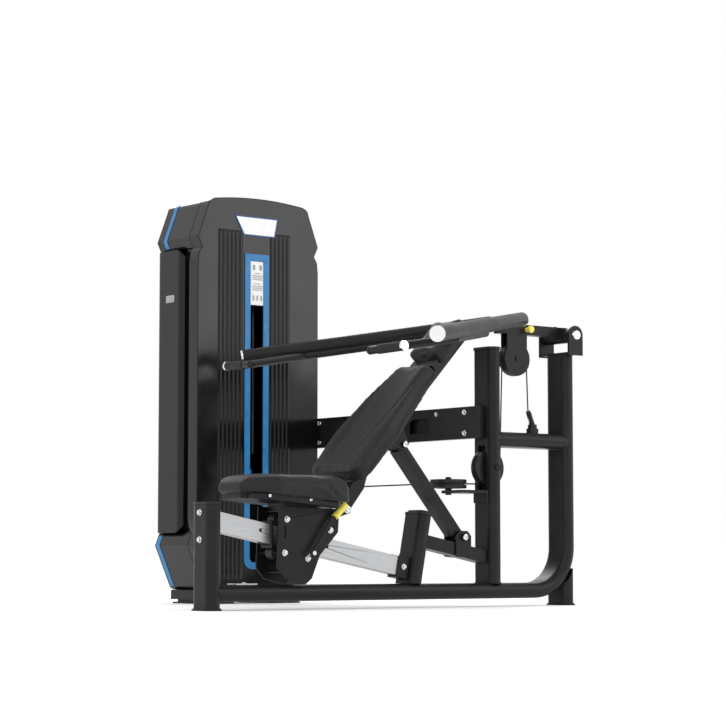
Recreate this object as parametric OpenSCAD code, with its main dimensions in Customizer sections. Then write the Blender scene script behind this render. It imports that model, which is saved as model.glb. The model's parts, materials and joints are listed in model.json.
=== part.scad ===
// Adjustable chest press machine with a weight tower.
// Millimetres. Origin: middle of the front post's foot, on the floor.
// +X runs along the bench towards its rear, +Y towards the tower, +Z up.

/* [Steel frame] */
// Narrow side of the flat-oval frame tube
tube_n = 60; // [50:1:65]
// Wide side of the flat-oval frame tube
tube_w = 120; // [114:1:124]
// Wall thickness of the frame tube
tube_wall = 3; // [2:0.5:5]
// Height of the frame tubes and plates above the floor
foot_h = 30; // [20:1:34]
// Distance from the front post to the rear upright
frame_len = 1710; // [1700:1:1730]
// Distance from the front post to the main post
main_x = 1320; // [1310:1:1330]
// Height of the main post's top
main_top = 1000; // [990:1:1010]
// Height of the rear upright's top
upright_top = 1000; // [980:1:1004]
// Middle height of the tube that links main post and rear upright
link_z = 650; // [640:1:690]

/* [Seat rail] */
// Downward slope of the rail, in degrees
rail_tilt = 10.9; // [10.5:0.1:11.3]
// Height of the rail's centre line above the origin
rail_z0 = 322; // [318:1:326]
// Height of the rail's section
rail_h = 72; // [70:1:74]
// Width of the rail's section
rail_w = 45; // [40:1:48]

/* [Bench] */
// Inner width between the two carriage plates
carriage_w = 124; // [122.5:0.5:128]
// Radius of the carriage rollers
roller_r = 24; // [22:1:26]
// Incline of the backrest, in degrees from the floor
back_tilt = 46.5; // [46:0.5:47]
// Half width of the seat at its widest
seat_half = 172; // [150:1:185]
// Half width of the back pad at its widest
back_half = 164; // [150:1:175]
// Thickness of the pads
pad_t = 58; // [50:1:60]

/* [Press arms] */
// Height of the arms' pivot
pivot_z = 1077; // [1070:1:1085]
// Diameter of the arm tubes
arm_d = 57; // [52:1:58]
// Diameter of the handle tubes
handle_d = 30; // [28:1:31]
// Diameter of the hand grips
grip_d = 35; // [33:1:38]

/* [Weight tower] */
// Distance from the bench's centre plane to the tower's front
tower_y = 1000; // [995:1:1010]
// Width of the tower
tower_w = 616; // [610:1:624]
// Depth of the tower
tower_d = 310; // [306:1:330]
// Height of the tower
tower_h = 1688; // [1680:1:1710]
// Number of weight plates that stay down
plates_down = 13; // [8:1:13]
// Pitch of the weight plates
plate_pitch = 30; // [28:1:31]

/* [Hidden] */
$fn = 48;
gap = 0.3;                       // play between faces of different bodies
eps = 1;                         // overshoot of a cutter
black = "#18191b";
steel = "#b9bcc0";
blue = "#1f8fe0";
yellow = "#e8d51c";

// Frame stations
base_z = foot_h + tube_n / 2;    // centre line of the base tube
foot_t = 6;                      // thickness of the plates under the posts
front_top = 376;                 // top of the front post
bend_r = 170;                    // centre line radius of the rear bend
rail_post_x = 914;               // rear post of the rail, at the base tube's centre line
rail_post_len = 294;
rail_to = 916;                   // the rail's rear end, along its own slope
slant_off = 115;                 // slanted tube's centre line above the rail's centre line
slant_h = 50;
slant_from = 948;
slant_to = 1320;

// Carriage, in the rail's own axes: x down the slope, z square to it
roller_z = rail_h / 2 + roller_r + gap;
top_rollers = [294, 494];
low_rollers = [307, 413];
plate_t = 6;
plate_y = carriage_w / 2;
lever_pivot = [402, 204];        // x, z of the lock lever's pivot
lever_tip = [488, 326];
lever_y = -94;
lever_lean = 43;

// Backrest
hinge = [574, 365];              // x, z of the backrest's hinge
back_foot = [542, 499];          // x, z of the lowest point of the pad's face
back_len = 598;
head_from = 640;                 // head pad's start along the back
head_len = 205;
head_half = 92;

// Strut between slanted tube and backrest
strut_low = [1166, 267];
strut_top = [868, 615];
strut_play = 14;                 // play of the upper pin in the strut's end

// Press arms
pivot_x = frame_len + 5;
mast_len = 339;
shaft_r = 15;
pop_x = 1510;                    // spring pin on the mast
arm_rear = [1420, 92, 1121];     // on the far arm; the near arm is its mirror image
arm_front = [570, 598, 974];
handle_share = [0.42, 0.765];     // stretch of the arm that the handle tube runs along
handle_off = [0, -17, -29];      // handle tube's axis from the arm's axis
handle_low = [446, 372, 924];
grip_end = [459, 540, 929];
grip_from = 0.26;                // share of the last handle leg that is bare

// Cable run
cable_d = 6;
groove = 64;                     // radius of the cable's centre line on a pulley
pulley_r = 71;
pulley_t = 25;
wide_t = 34;                     // thickness of the post pulley and the turn pulley
small_groove = 40;
small_r = 46;
moving_pos = [1463, 0, 973];
post_pos = [main_x, 0, 538];
run_z = post_pos[2] - groove;
turn_pos = [1174, groove, run_z];
run_x = turn_pos[0] - groove;
stack_x = 920;
stack_y = tower_y + 160;
low_pos = [run_x, stack_y - groove, run_z + groove];
top_z = 1490;
anchor_x = 1558;
rod_top = [1535, 0, 770];

// Tower
tower_x = 933;                   // middle of the tower
plate_x = 300;
plate_dy = 120;
stack_z = 140;                   // underside of the lowest weight plate
rod_pitch = 190;                 // distance between the guide rods
guide_r = 11;
slot_w = 66;                     // opening in front of the weights
slot_z0 = 169;
slot_z1 = 1235;
trim_w = 28;                     // width of the blue frame round the opening
trim_top = 1452;
shell = 8;                       // wall of the tower's panels
front_d = 66;                    // depth of the front panel
side_from = 118;                 // where the side panels start, behind the tower's front
cap_low_z = 290;                 // seam between lower cap and body
cap_top_z = 1465;                // seam between body and upper cap
cap_base_z = 56;
rod_bar_z = 1400;                // bar that holds the guide rods' upper ends

// Beam between tower and main post
beam_z = 653;
beam_h = 126;
beam_t = 30;
beam_from = -16;
beam_end = 1062;

function mirror_y(p) = [p[0], -p[1], p[2]];

// Place children at the rail's origin, turned into its slope
module on_rail() {
    translate([0, 0, rail_z0]) rotate([0, rail_tilt, 0]) children();
}

// Place children at a point, with their +X along the backrest and +Z out of its face
module on_back() {
    translate([back_foot[0], 0, back_foot[1]]) rotate([0, -back_tilt, 0]) children();
}

// Flat-oval outline, long side along Y
module oval(n, w) {
    square([n, w - n], center = true);
    for (s = [-1, 1]) translate([0, s * (w - n) / 2]) circle(d = n);
}

// Straight flat-oval tube along +Z
module oval_tube(len, n = tube_n, w = tube_w) {
    linear_extrude(len) difference() {
        oval(n, w);
        oval(n - 2 * tube_wall, w - 2 * tube_wall);
    }
}

// Straight rod between two points
module rod(a, b, d) {
    v = b - a;
    len = norm(v);
    translate(a) rotate([0, acos(v[2] / len), atan2(v[1], v[0])]) cylinder(d = d, h = len);
}

// Round pin across the machine, centred on Y
module cross_pin(x, z, d, len) {
    translate([x, 0, z]) rotate([90, 0, 0]) cylinder(d = d, h = len, center = true);
}

// Flat plate across Y, from a list of x, z points
module upright_plate(points, y, t) {
    translate([0, y + t, 0]) rotate([90, 0, 0]) linear_extrude(t) polygon(points);
}

// Bolt head with washer, lying on a plane, pointing along +Z
module bolt_head(d) {
    cylinder(d = d * 2.1, h = d * 0.18);
    cylinder(d = d * 1.6, h = d * 0.75);
}

// Grooved cable pulley about +Z
module pulley(r, line_r, t, bore) {
    groove_d = cable_d + 4 * gap;
    difference() {
        cylinder(r = r, h = t, center = true);
        rotate_extrude() translate([line_r, 0]) circle(d = groove_d);
        rotate_extrude() translate([line_r, -groove_d / 2]) square([r, groove_d]);
        cylinder(r = bore, h = t + eps, center = true);
        for (s = [-1, 1]) translate([0, 0, s * t / 2]) difference() {
            cylinder(r = line_r - 14, h = t / 3, center = true);
            cylinder(r = bore + 9, h = t, center = true);
        }
    }
}

// ---- fixed frame ----

// Base tube, rear bend, rear upright and the welded rear leg
module base_tube() {
    run = frame_len - bend_r;
    color(black) {
        difference() {
            translate([12, 0, base_z]) rotate([0, 90, 0]) oval_tube(run - 12);
            linear_extrude(front_top) oval(tube_n + 2 * gap, tube_w + 2 * gap);
        }
        translate([run, 0, base_z + bend_r]) rotate([-90, 0, 0])
            rotate_extrude(angle = 90) translate([bend_r, 0]) difference() {
                oval(tube_n, tube_w);
                oval(tube_n - 2 * tube_wall, tube_w - 2 * tube_wall);
            }
        translate([frame_len, 0, base_z + bend_r])
            oval_tube(upright_top - base_z - bend_r);
        difference() {
            translate([frame_len - 5, 0, foot_t]) oval_tube(140);
            translate([run, 0, base_z + bend_r]) rotate([90, 0, 0])
                cylinder(r = bend_r + tube_n / 2 + gap, h = 2 * tube_w, center = true);
        }
    }
}

// Front post that carries the rail's front end
module front_post() {
    color(black) translate([0, 0, foot_t]) oval_tube(front_top - foot_t);
}

// Main post, slotted for the post pulley
module main_post() {
    color(black) difference() {
        translate([main_x, 0, foot_h + tube_n + gap]) oval_tube(main_top - foot_h - tube_n);
        translate([main_x, 0, post_pos[2]]) cube([2 * tube_n, wide_t + 6, 172], center = true);
        cross_pin(main_x, post_pos[2], 16, 2 * tube_w);
    }
}

// Tube between main post and rear upright, slotted where the cable passes down
module link_tube() {
    color(black) difference() {
        translate([main_x, 0, link_z]) rotate([0, 90, 0]) oval_tube(frame_len - main_x);
        for (x = [main_x, frame_len]) translate([x, 0, link_z - tube_w]) linear_extrude(2 * tube_w)
            oval(tube_n + gap, tube_w + gap);
        translate([main_x + 34, -9, link_z - tube_n]) cube([52, 18, 2 * tube_n]);
    }
}

// Plates that the front post and the rear leg stand on
module foot_plates() {
    color(black) for (x = [0, frame_len - 5]) translate([x, 0, 0])
        linear_extrude(foot_t) oval(tube_n + 14, tube_w + 14);
}

// Stainless rail; its row of lock holes is on the far side
module rail() {
    mark_z = 6;
    color(steel) difference() {
        on_rail() difference() {
            translate([0, -rail_w / 2, -rail_h / 2]) cube([rail_to, rail_w, rail_h]);
            translate([-eps, -rail_w / 2 + 3, -rail_h / 2 + 3])
                cube([rail_to + 2 * eps, rail_w - 6, rail_h - 6]);
            for (x = [130:30:700]) translate([x, rail_w / 2 + eps, 0]) rotate([90, 0, 0])
                cylinder(r = 6, h = 5);
            for (x = [220, 526]) translate([x, -rail_w / 2 - eps, mark_z]) rotate([-90, 0, 0])
                cylinder(r = 6, h = 5);
            translate([890, 0, 0]) rotate([90, 0, 0])
                cylinder(r = 5, h = rail_w + 2 * eps, center = true);
        }
        translate([-tube_w, -tube_w, 0]) cube([tube_w + tube_n / 2 + 6, 2 * tube_w, front_top]);
    }
}

// End plate on the front post and clamp at the rail's rear end
module rail_brackets() {
    inner = rail_w / 2 + gap;
    color(black) {
        translate([tube_n / 2 + gap, -22, 238]) cube([6 - 2 * gap, 44, 122]);
        on_rail() translate([864, 0, -rail_h / 2 - 8]) {
            for (s = [-1, 1]) translate([0, s > 0 ? inner : -inner - 6, 0])
                cube([51, 6, rail_h + 16]);
            translate([0, -inner - 6, 0]) cube([51, 2 * inner + 12, 8 - gap]);
        }
    }
}

// Short post, square to the rail, that carries the rail's rear end
module rail_post() {
    color(black) difference() {
        translate([rail_post_x, 0, base_z]) rotate([0, rail_tilt, 0])
            oval_tube(rail_post_len);
        translate([0, -tube_w, 0]) cube([2 * main_x, 2 * tube_w, base_z + tube_n / 2 + gap]);
    }
}

// Slanted tube from the rail's rear post to the main post
module slant_tube() {
    color(black) difference() {
        on_rail() translate([slant_from, -30, slant_off - slant_h / 2]) difference() {
            cube([slant_to - slant_from, 60, slant_h]);
            translate([-eps, 3, 3]) cube([slant_to, 54, slant_h - 6]);
        }
        translate([main_x - tube_n / 2, -tube_w, 0]) cube([tube_w, 2 * tube_w, main_top]);
        translate([rail_post_x, 0, base_z]) rotate([0, rail_tilt, 0])
            linear_extrude(rail_post_len) oval(tube_n + gap, tube_w + gap);
    }
}

// Clevis welded on the slanted tube, with the strut's lower pin
module strut_clevis() {
    x = strut_low[0];
    z = strut_low[1];
    color(black) for (s = [-1, 1]) difference() {
        upright_plate([[x - 38, z - 75], [x + 38, z - 82], [x + 38, z + 4], [x + 20, z + 24],
            [x - 20, z + 24], [x - 38, z + 4]], s > 0 ? 30.3 : -36.3, 6);
        cross_pin(x, z, 14, 200);
    }
    color(steel) {
        cross_pin(x, z, 14, 86);
        for (s = [-1, 1]) translate([x, s * 43, z]) rotate([90, 0, 0])
            cylinder(d = 26, h = 8, center = true);
    }
}

// Cradle on the rear upright that holds the press arms' shaft
module pivot_bracket() {
    z0 = upright_top - 4;
    color(black) {
        for (s = [-1, 1]) difference() {
            union() {
                translate([pivot_x - 38, s > 0 ? 80 : -90, z0]) cube([76, 10, pivot_z - z0]);
                translate([pivot_x, s * 85, pivot_z]) rotate([90, 0, 0])
                    cylinder(r = 38, h = 10, center = true);
            }
            cross_pin(pivot_x, pivot_z, 2 * shaft_r, 260);
        }
        translate([pivot_x - 38, -80, upright_top + gap]) cube([76, 160, 8]);
    }
}

// Shaft of the press arms with its chrome end caps
module pivot_shaft() {
    color(steel) {
        cross_pin(pivot_x, pivot_z, 2 * shaft_r - 0.1, 184);
        for (s = [-1, 1]) translate([pivot_x, s * 94, pivot_z]) rotate([s * 90, 0, 0])
            cylinder(r1 = 17, r2 = 20, h = 7, center = true);
    }
}

// Block and threaded rod that hold the cable's fixed end
module cable_anchor() {
    top = link_z + tube_n / 2;
    foot = [anchor_x, 0, top + 34];
    color(black) translate([anchor_x, 0, top]) {
        cylinder(d = 48, h = 20);
        cylinder(d = 36, h = 36);
    }
    color(steel) {
        rod(foot, rod_top, 12);
        rod(foot, foot + (rod_top - foot) * 0.22, 22);
    }
    color(black) rod(rod_top - (rod_top - foot) * 0.45, rod_top, 19);
}

// Plate on the main post that carries the turn pulley, and the post pulley's axle
module pulley_plate() {
    plate_w = 12;
    z = turn_pos[2] - wide_t / 2 - 8 - plate_w;
    x0 = turn_pos[0] - 20;
    post_face = main_x - tube_n / 2;
    color(black) {
        difference() {
            translate([x0, -40, z]) cube([post_face - x0 - gap, 38 + 84, plate_w]);
            translate([turn_pos[0], turn_pos[1], z]) cylinder(r = 8, h = 30, center = true);
        }
        translate([post_face - 8, -40, z - 36]) cube([8 - gap, 80, 36]);
    }
    color(steel) translate([turn_pos[0], turn_pos[1], z]) {
        cylinder(r = 7.95, h = wide_t + 30);
        translate([0, 0, -6]) cylinder(r = 12, h = 6 - gap);
        translate([0, 0, plate_w + gap]) cylinder(r = 13, h = 7);
        translate([0, 0, plate_w + 8 + wide_t + gap]) cylinder(r = 12, h = 8);
    }
    color(steel) {
        cross_pin(main_x, post_pos[2], 15.9, tube_w + 4);
        for (s = [-1, 1]) translate([main_x, s * (tube_w / 2 + 3), post_pos[2]])
            rotate([90, 0, 0]) cylinder(d = 24, h = 5, center = true);
    }
}

// Box beam between main post and tower, with a window in its front
module cable_duct() {
    x0 = main_x - tube_n / 2 - beam_t;
    y0 = beam_from;
    len = beam_end - y0;
    wall = 4;
    color(black) difference() {
        translate([x0, y0, beam_z]) cube([beam_t - gap, len, beam_h]);
        translate([x0 + wall, y0 + wall, beam_z + wall])
            cube([beam_t - gap - 2 * wall, len - 2 * wall, beam_h - 2 * wall]);
        translate([x0 + wall + eps, 345, beam_z + 60]) rotate([0, -90, 0])
            linear_extrude(wall + 2 * eps) window_outline(58, 127, 24);
    }
}

// Window of the beam: square below, rounded above, its height along X
module window_outline(h, w, r) {
    translate([-h / 2, -w / 2]) square([h - r, w]);
    translate([-h / 2, -w / 2 + r]) square([h, w - 2 * r]);
    for (s = [-1, 1]) translate([h / 2 - r, s * (w / 2 - r)]) circle(r = r);
}

// Bolt heads on the fixed frame
module frame_bolts() {
    duct_x = main_x - tube_n / 2 - beam_t;
    rows = [beam_z + 22, beam_z + beam_h - 22];
    color(steel) {
        for (z = [347, 251]) translate([-tube_n / 2 - gap, 0, z]) rotate([0, -90, 0])
            bolt_head(11);
        for (y = [65, 1012], z = rows) translate([duct_x - gap, y, z])
            rotate([0, -90, 0]) bolt_head(10);
        translate([duct_x - gap, 239, rows[1]]) rotate([0, -90, 0]) bolt_head(8);
        on_rail() translate([890, -rail_w / 2 - 6.6, 0]) rotate([90, 0, 0]) bolt_head(10);
    }
}

// Plastic plugs and covers of the open tube ends
module tube_plugs() {
    color(black) {
        translate([0, 0, front_top + gap]) linear_extrude(8) oval(tube_n + 4, tube_w + 4);
        translate([main_x, 0, main_top + 1]) linear_extrude(10) oval(tube_n + 8, tube_w + 8);
        translate([rail_post_x, 0, base_z]) rotate([0, rail_tilt, 0])
            translate([0, 0, rail_post_len + gap]) {
                linear_extrude(8) oval(tube_n + 5, tube_w + 5);
                linear_extrude(16) oval(tube_n - 16, tube_w - 16);
            }
    }
}

// ---- tower ----

// Rounded rectangle about its own middle
module round_rect(w, d, r) {
    square([w, d - 2 * r], center = true);
    square([w - 2 * r, d], center = true);
    for (sx = [-1, 1], sy = [-1, 1]) translate([sx * (w / 2 - r), sy * (d / 2 - r)])
        circle(r = r);
}

module at_tower(z) {
    translate([tower_x, tower_y + tower_d / 2, z]) children();
}

// Plinth and its two long feet
module tower_base() {
    plinth_z = 17;
    color(black) {
        at_tower(plinth_z) linear_extrude(cap_base_z - gap - plinth_z)
            round_rect(492, tower_d - 40, 14);
        at_tower(cap_base_z - gap) linear_extrude(80 - cap_base_z + gap)
            round_rect(380, tower_d - 60, 10);
        for (s = [-1, 1]) at_tower(0) translate([s * 167, 0, 0]) {
            linear_extrude(foot_t) round_rect(140, tower_d - 44, 12);
            translate([0, 0, foot_t]) linear_extrude(plinth_z - foot_t)
                round_rect(104, tower_d - 70, 10);
        }
    }
}

// Inner posts, rod bar, top bar and the hangers of the two top pulleys
module tower_frame() {
    w = tower_w - 170;
    bar_z = tower_h - 128;
    color(black) {
        difference() {
            translate([tower_x - w / 2 + 20 + gap, stack_y - 25, rod_bar_z])
                cube([w - 40 - 2 * gap, 50, 8]);
            for (x = [stack_x, run_x]) translate([x, stack_y, rod_bar_z - eps])
                cylinder(r = 14, h = 8 + 2 * eps);
        }
        for (s = [-1, 1]) {
            translate([tower_x + s * w / 2 - 20, stack_y - 25, 130]) cube([40, 50, bar_z - 130]);
            translate([tower_x + s * (w / 2 - 11) - 9, stack_y - 25, 80]) cube([18, 50, 51]);
        }
        translate([tower_x - w / 2 - 20, stack_y - 25, bar_z]) cube([w + 40, 50, 40]);
        for (x = [stack_x + small_groove, run_x - small_groove], s = [-1, 1]) difference() {
            translate([x - 18, stack_y + (s > 0 ? 17 : -21), top_z - 22])
                cube([36, 4, bar_z - top_z + 22]);
            translate([x, stack_y, top_z]) rotate([90, 0, 0])
                cylinder(r = 6, h = 60, center = true);
        }
        for (s = [-1, 1]) translate([run_x + s * 19 - 2, low_pos[1] - 24, 80])
            difference() {
                cube([4, 48, low_pos[2] - 80 + 24]);
                translate([0, 24, low_pos[2] - 80]) rotate([0, 90, 0])
                    cylinder(r = 7, h = 30, center = true);
            }
    }
    color(steel) {
        for (x = [stack_x + small_groove, run_x - small_groove]) translate([x, stack_y, top_z])
            rotate([90, 0, 0]) cylinder(r = 5.95, h = 48, center = true);
        translate([run_x, low_pos[1], low_pos[2]]) rotate([0, 90, 0])
            cylinder(r = 6.95, h = 50, center = true);
    }
}

// Two chromed rods that guide the weights
module guide_rods() {
    color(steel) for (s = [-1, 1]) translate([stack_x + s * rod_pitch / 2, stack_y, 80 + gap])
        cylinder(r = guide_r, h = rod_bar_z - 80 - 2 * gap);
}

// One weight plate with its guide holes, stem hole and pin hole
module weight_plate(z, t) {
    difference() {
        translate([stack_x - plate_x / 2, stack_y - plate_dy / 2, z]) cube([plate_x, plate_dy, t]);
        for (s = [-1, 1]) translate([stack_x + s * rod_pitch / 2, stack_y, z - eps])
            cylinder(r = guide_r + 0.6, h = t + 2 * eps);
        translate([stack_x, stack_y, z - eps]) cylinder(r = 16, h = t + 2 * eps);
        translate([stack_x, stack_y - plate_dy / 2 - eps, z + t / 2]) rotate([-90, 0, 0])
            cylinder(r = 6, h = plate_dy / 2);
    }
}

// Weights below the selector pin, which stay down
module weight_plates() {
    color(black) for (i = [0:plates_down - 1])
        weight_plate(stack_z + i * plate_pitch, plate_pitch - 1);
}

// Rubber springs under the weights
module stack_buffers() {
    color("#222222") for (s = [-1, 1]) translate([stack_x + s * rod_pitch / 2, stack_y, 80 + gap])
        difference() {
            cylinder(r = 24, h = stack_z - 80 - 2 * gap);
            cylinder(r = guide_r + gap, h = stack_z);
        }
}

// Right half of the caps' outline seen from the front, x from the tower's middle and z
half_w = tower_w / 2;
crown_x = half_w - 102;
shoulder_z = tower_h - 48;
upper_edge = concat(
    [for (i = [0:6]) [crown_x * i / 6, tower_h - 13 * pow(i / 6, 2)]],
    [for (a = [22.5:22.5:90]) [crown_x + 52 * sin(a), shoulder_z + 35 * cos(a)]],
    [[half_w, cap_top_z + 42], [half_w - 20, cap_top_z]]);
lower_edge = [[half_w - 20, cap_low_z], [half_w, cap_low_z - 50], [half_w - 76, cap_base_z + 10],
    [half_w - 90, cap_base_z]];

body_edge = [[half_w - 5, cap_top_z - 24], [half_w, cap_top_z - 70], [half_w, cap_low_z + 60],
    [half_w - 5, cap_low_z + 24]];

// Both halves of an outline, moved sideways by d
function both_sides(edge, d = 0) = let (n = len(edge)) concat(
    [for (i = [0:n - 1]) [edge[i][0] + (edge[i][0] > 0 ? d : 0), edge[i][1]]],
    [for (i = [n - 1:-1:0]) if (edge[i][0] > 0) [-edge[i][0] - d, edge[i][1]]]);

// Outline in x and z about the tower's middle, extruded along Y from y over depth t
module upright_panel(y, t) {
    translate([tower_x, y + t, 0]) rotate([90, 0, 0]) linear_extrude(t) children();
}

// Front panel, one piece from plinth to crown, with the opening in front of the weights
module front_shroud() {
    color(black) difference() {
        upright_panel(tower_y, front_d) polygon(both_sides(concat(upper_edge, body_edge, lower_edge)));
        upright_panel(tower_y + shell, front_d) {
            polygon(both_sides([[half_w - 29, cap_top_z + eps], [half_w - 29, cap_low_z - 50],
                [half_w - 100, cap_base_z + 60]]));
            translate([-crown_x, cap_top_z]) square([2 * crown_x, tower_h - cap_top_z - 26]);
            translate([-half_w + 100, cap_base_z - eps]) square([2 * half_w - 200, 200]);
        }
        upright_panel(tower_y - eps, 2 * shell) translate([stack_x - tower_x, 0])
            slot_outline(slot_w, slot_z0, slot_z1, 20);
        translate([run_x - 22, tower_y - 20, run_z - 22]) cube([44, 60, 44]);
    }
}

// Upright slot with rounded lower corners, seen from the front
module slot_outline(w, z0, z1, r) {
    translate([-w / 2, z0 + r]) square([w, z1 - z0 - r]);
    translate([-w / 2 + r, z0]) square([w - 2 * r, z1 - z0]);
    for (s = [-1, 1]) translate([s * (w / 2 - r), z0 + r]) circle(r = r);
}

// Plan of the body behind the front panel: a groove, then the side panels round to the back
module body_plan(inset) {
    back = tower_d / 2 - inset;
    translate([-half_w + 32 + inset, -tower_d / 2 + front_d + gap - inset])
        square([2 * half_w - 64 - 2 * inset, tower_d / 2 - front_d]);
    translate([0, side_from / 2]) round_rect(tower_w - 2 * inset, tower_d - side_from - 2 * inset,
        30 - inset);
    translate([-half_w + 60, 0]) square([2 * half_w - 120, back]);
}

// Cutter that rounds a side panel's front corner; up is 1 at its top and -1 at its foot
module panel_corner(z, up) {
    r = 50;
    for (s = [-1, 1]) translate([s * (half_w - 15), side_from - tower_d / 2 + r, z - up * r])
        difference() {
            translate([-17, -r - eps, up > 0 ? 0 : -r - eps]) cube([34, r + eps, r + eps]);
            rotate([0, 90, 0]) cylinder(r = r, h = 40, center = true);
        }
}

// Side panels and back of the body
module rear_shroud() {
    z0 = cap_low_z + gap;
    z1 = cap_top_z - gap;
    color(black) difference() {
        at_tower(z0) linear_extrude(z1 - z0) difference() {
            body_plan(0);
            body_plan(shell);
            translate([-half_w + 32 + shell, -tower_d / 2])
                square([2 * half_w - 64 - 2 * shell, 120]);
        }
        at_tower(0) panel_corner(z1, 1);
        at_tower(0) panel_corner(z0, -1);
    }
}

// Cap behind the front panel: its outline as a shell, open at the inner side and in front
module rear_cap(edge, hollow) {
    depth = tower_d - front_d - gap;
    color(black) difference() {
        upright_panel(tower_y + front_d + gap, depth) polygon(both_sides(edge));
        upright_panel(tower_y + front_d, depth - shell) polygon(both_sides(hollow));
    }
}

module upper_cap() {
    rear_cap(upper_edge, [[crown_x - 10, tower_h - 13 - 2 * shell], [crown_x + 30, shoulder_z - 14],
        [half_w - 12, cap_top_z + 42], [half_w - 30, cap_top_z - eps]]);
}

module lower_cap() {
    rear_cap(lower_edge, [[half_w - 30, cap_low_z + eps], [half_w - 12, cap_low_z - 50],
        [half_w - 90, cap_base_z + 10], [half_w - 104, cap_base_z - eps]]);
}

// Strip that follows a cap's side from one height to another
module side_strip(edge, z0, z1, back) {
    strip_y = tower_y + back;
    intersection() {
        upright_panel(strip_y, 25) difference() {
            polygon(both_sides(edge, 2));
            polygon(both_sides(edge, gap));
        }
        translate([tower_x - tower_w, strip_y - eps, z0]) cube([2 * tower_w, 25 + 2 * eps, z1 - z0]);
    }
}

// Blue trims: the frame of the opening and the strips on both caps' sides
module blue_trims() {
    color(blue) {
        upright_panel(tower_y - 4, 4 - gap) translate([stack_x - tower_x, 0]) difference() {
            slot_outline(slot_w + 2 * trim_w, slot_z0 - trim_w, trim_top, 42);
            slot_outline(slot_w, slot_z0, trim_top - trim_w, 20);
        }
        side_strip(upper_edge, cap_top_z + 10, tower_h - 20, 232);
        side_strip(lower_edge, cap_base_z + 14, cap_low_z - 12, 272);
    }
}

// ---- cables ----

// Part of a ring of cable about an axis along +Z
module cable_arc(r, from, sweep) {
    rotate([0, 0, from]) rotate_extrude(angle = sweep) translate([r, 0]) circle(d = cable_d);
}

// Straight stretch of cable that ends a little inside the bends it joins
module strand(a, b, lap = 2) {
    v = (b - a) / norm(b - a);
    rod(a - lap * v, b + lap * v, cable_d - 0.6);
}

// Cable from its anchor over the moving pulley and down to the post pulley
module pull_cable() {
    side = [groove, 0, 0];
    color("#2b2c2e") {
        rod(rod_top, moving_pos + side, cable_d - 0.6);
        translate(moving_pos) rotate([90, 0, 0]) cable_arc(groove, 0, 180);
        strand(moving_pos - side, post_pos + side);
        translate(post_pos) rotate([90, 0, 0]) cable_arc(groove, 270, 90);
    }
}

// Cable from the post pulley over the turn pulley into the tower and up to the top pulleys
module run_cable() {
    top_in = [run_x - small_groove, stack_y, top_z];
    top_out = [stack_x + small_groove, stack_y, top_z];
    color("#2b2c2e") {
        rod([main_x, 0, run_z], [turn_pos[0], 0, run_z], cable_d);
        translate(turn_pos) cable_arc(groove, 180, 90);
        rod([run_x, groove, run_z], [run_x, low_pos[1], run_z], cable_d);
        translate(low_pos) rotate([90, 0, 90]) cable_arc(groove, 270, 90);
        rod([run_x, stack_y, low_pos[2]], [run_x, stack_y, top_z], cable_d);
        translate(top_in) rotate([90, 0, 0]) cable_arc(small_groove, 0, 90);
        rod(top_in + [0, 0, small_groove], top_out + [0, 0, small_groove], cable_d);
        translate(top_out) rotate([90, 0, 0]) cable_arc(small_groove, 90, 90);
    }
}

// Cable from the top pulley down to the weights' head
module stack_cable() {
    head_z = stack_z + (plates_down + 2) * plate_pitch + 60;
    color("#2b2c2e") rod([stack_x, stack_y, top_z], [stack_x, stack_y, head_z + gap], cable_d);
}

// ---- carriage ----

// Outline of a carriage plate, x and z
carriage_edge = [[267, 374], [258, 150], [292, 112], [386, 91], [414, 112], [450, 195],
    [533, 280], [537, 336], [590, 352], [598, 384], [560, 392], [520, 364]];

module carriage_plate(y) {
    color(black) difference() {
        upright_plate(carriage_edge, y, plate_t);
        on_rail() {
            for (x = top_rollers) translate([x, 0, roller_z]) rotate([90, 0, 0])
                cylinder(r = 6, h = 400, center = true);
            for (x = low_rollers) translate([x, 0, -roller_z]) rotate([90, 0, 0])
                cylinder(r = 6, h = 400, center = true);
        }
        cross_pin(hinge[0], hinge[1], 14, 400);
        translate([290, y - eps, 258]) cube([6, plate_t + 2 * eps, 46]);
    }
}

module carriage_near() { carriage_plate(-plate_y - plate_t); }

module carriage_far() { carriage_plate(plate_y); }

// Plate under the seat, wiper that the rail passes through, and the lower cross plate
module carriage_bridge() {
    in = plate_y - gap;
    play = 3;
    color(black) {
        translate([290, -in, 352]) cube([190, 2 * in, 6]);
        difference() {
            translate([258, 0, 271]) rotate([0, 90, 0]) linear_extrude(8)
                round_rect(98, rail_w + 24, 8);
            on_rail() translate([0, -rail_w / 2 - play, -rail_h / 2 - play])
                cube([rail_to, rail_w + 2 * play, rail_h + 2 * play]);
        }
        translate([296, -in, 132]) cube([100, 2 * in, 5]);
    }
}

// Roller axles and the backrest's hinge pin
module carriage_bolts() {
    outer = plate_y + plate_t;
    color(steel) {
        on_rail() for (p = concat([for (x = top_rollers) [x, roller_z]],
            [for (x = low_rollers) [x, -roller_z]])) translate([p[0], 0, p[1]]) {
            rotate([90, 0, 0]) cylinder(r = 5.95, h = 2 * outer + 4, center = true);
            for (s = [-1, 1]) translate([0, s * (outer + gap), 0]) rotate([-s * 90, 0, 0])
                bolt_head(11);
        }
        cross_pin(hinge[0], hinge[1], 13.9, 2 * outer + 8);
        for (s = [-1, 1]) translate([hinge[0], s * (outer + gap), hinge[1]])
            rotate([-s * 90, 0, 0]) bolt_head(14);
        translate([lever_pivot[0], -outer - gap, lever_pivot[1]]) rotate([90, 0, 0]) {
            cylinder(r = 9, h = 22.5);
            cylinder(r = 4.95, h = 30.5);
            translate([0, 0, 29]) cylinder(r = 8, h = 4);
        }
    }
}

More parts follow.
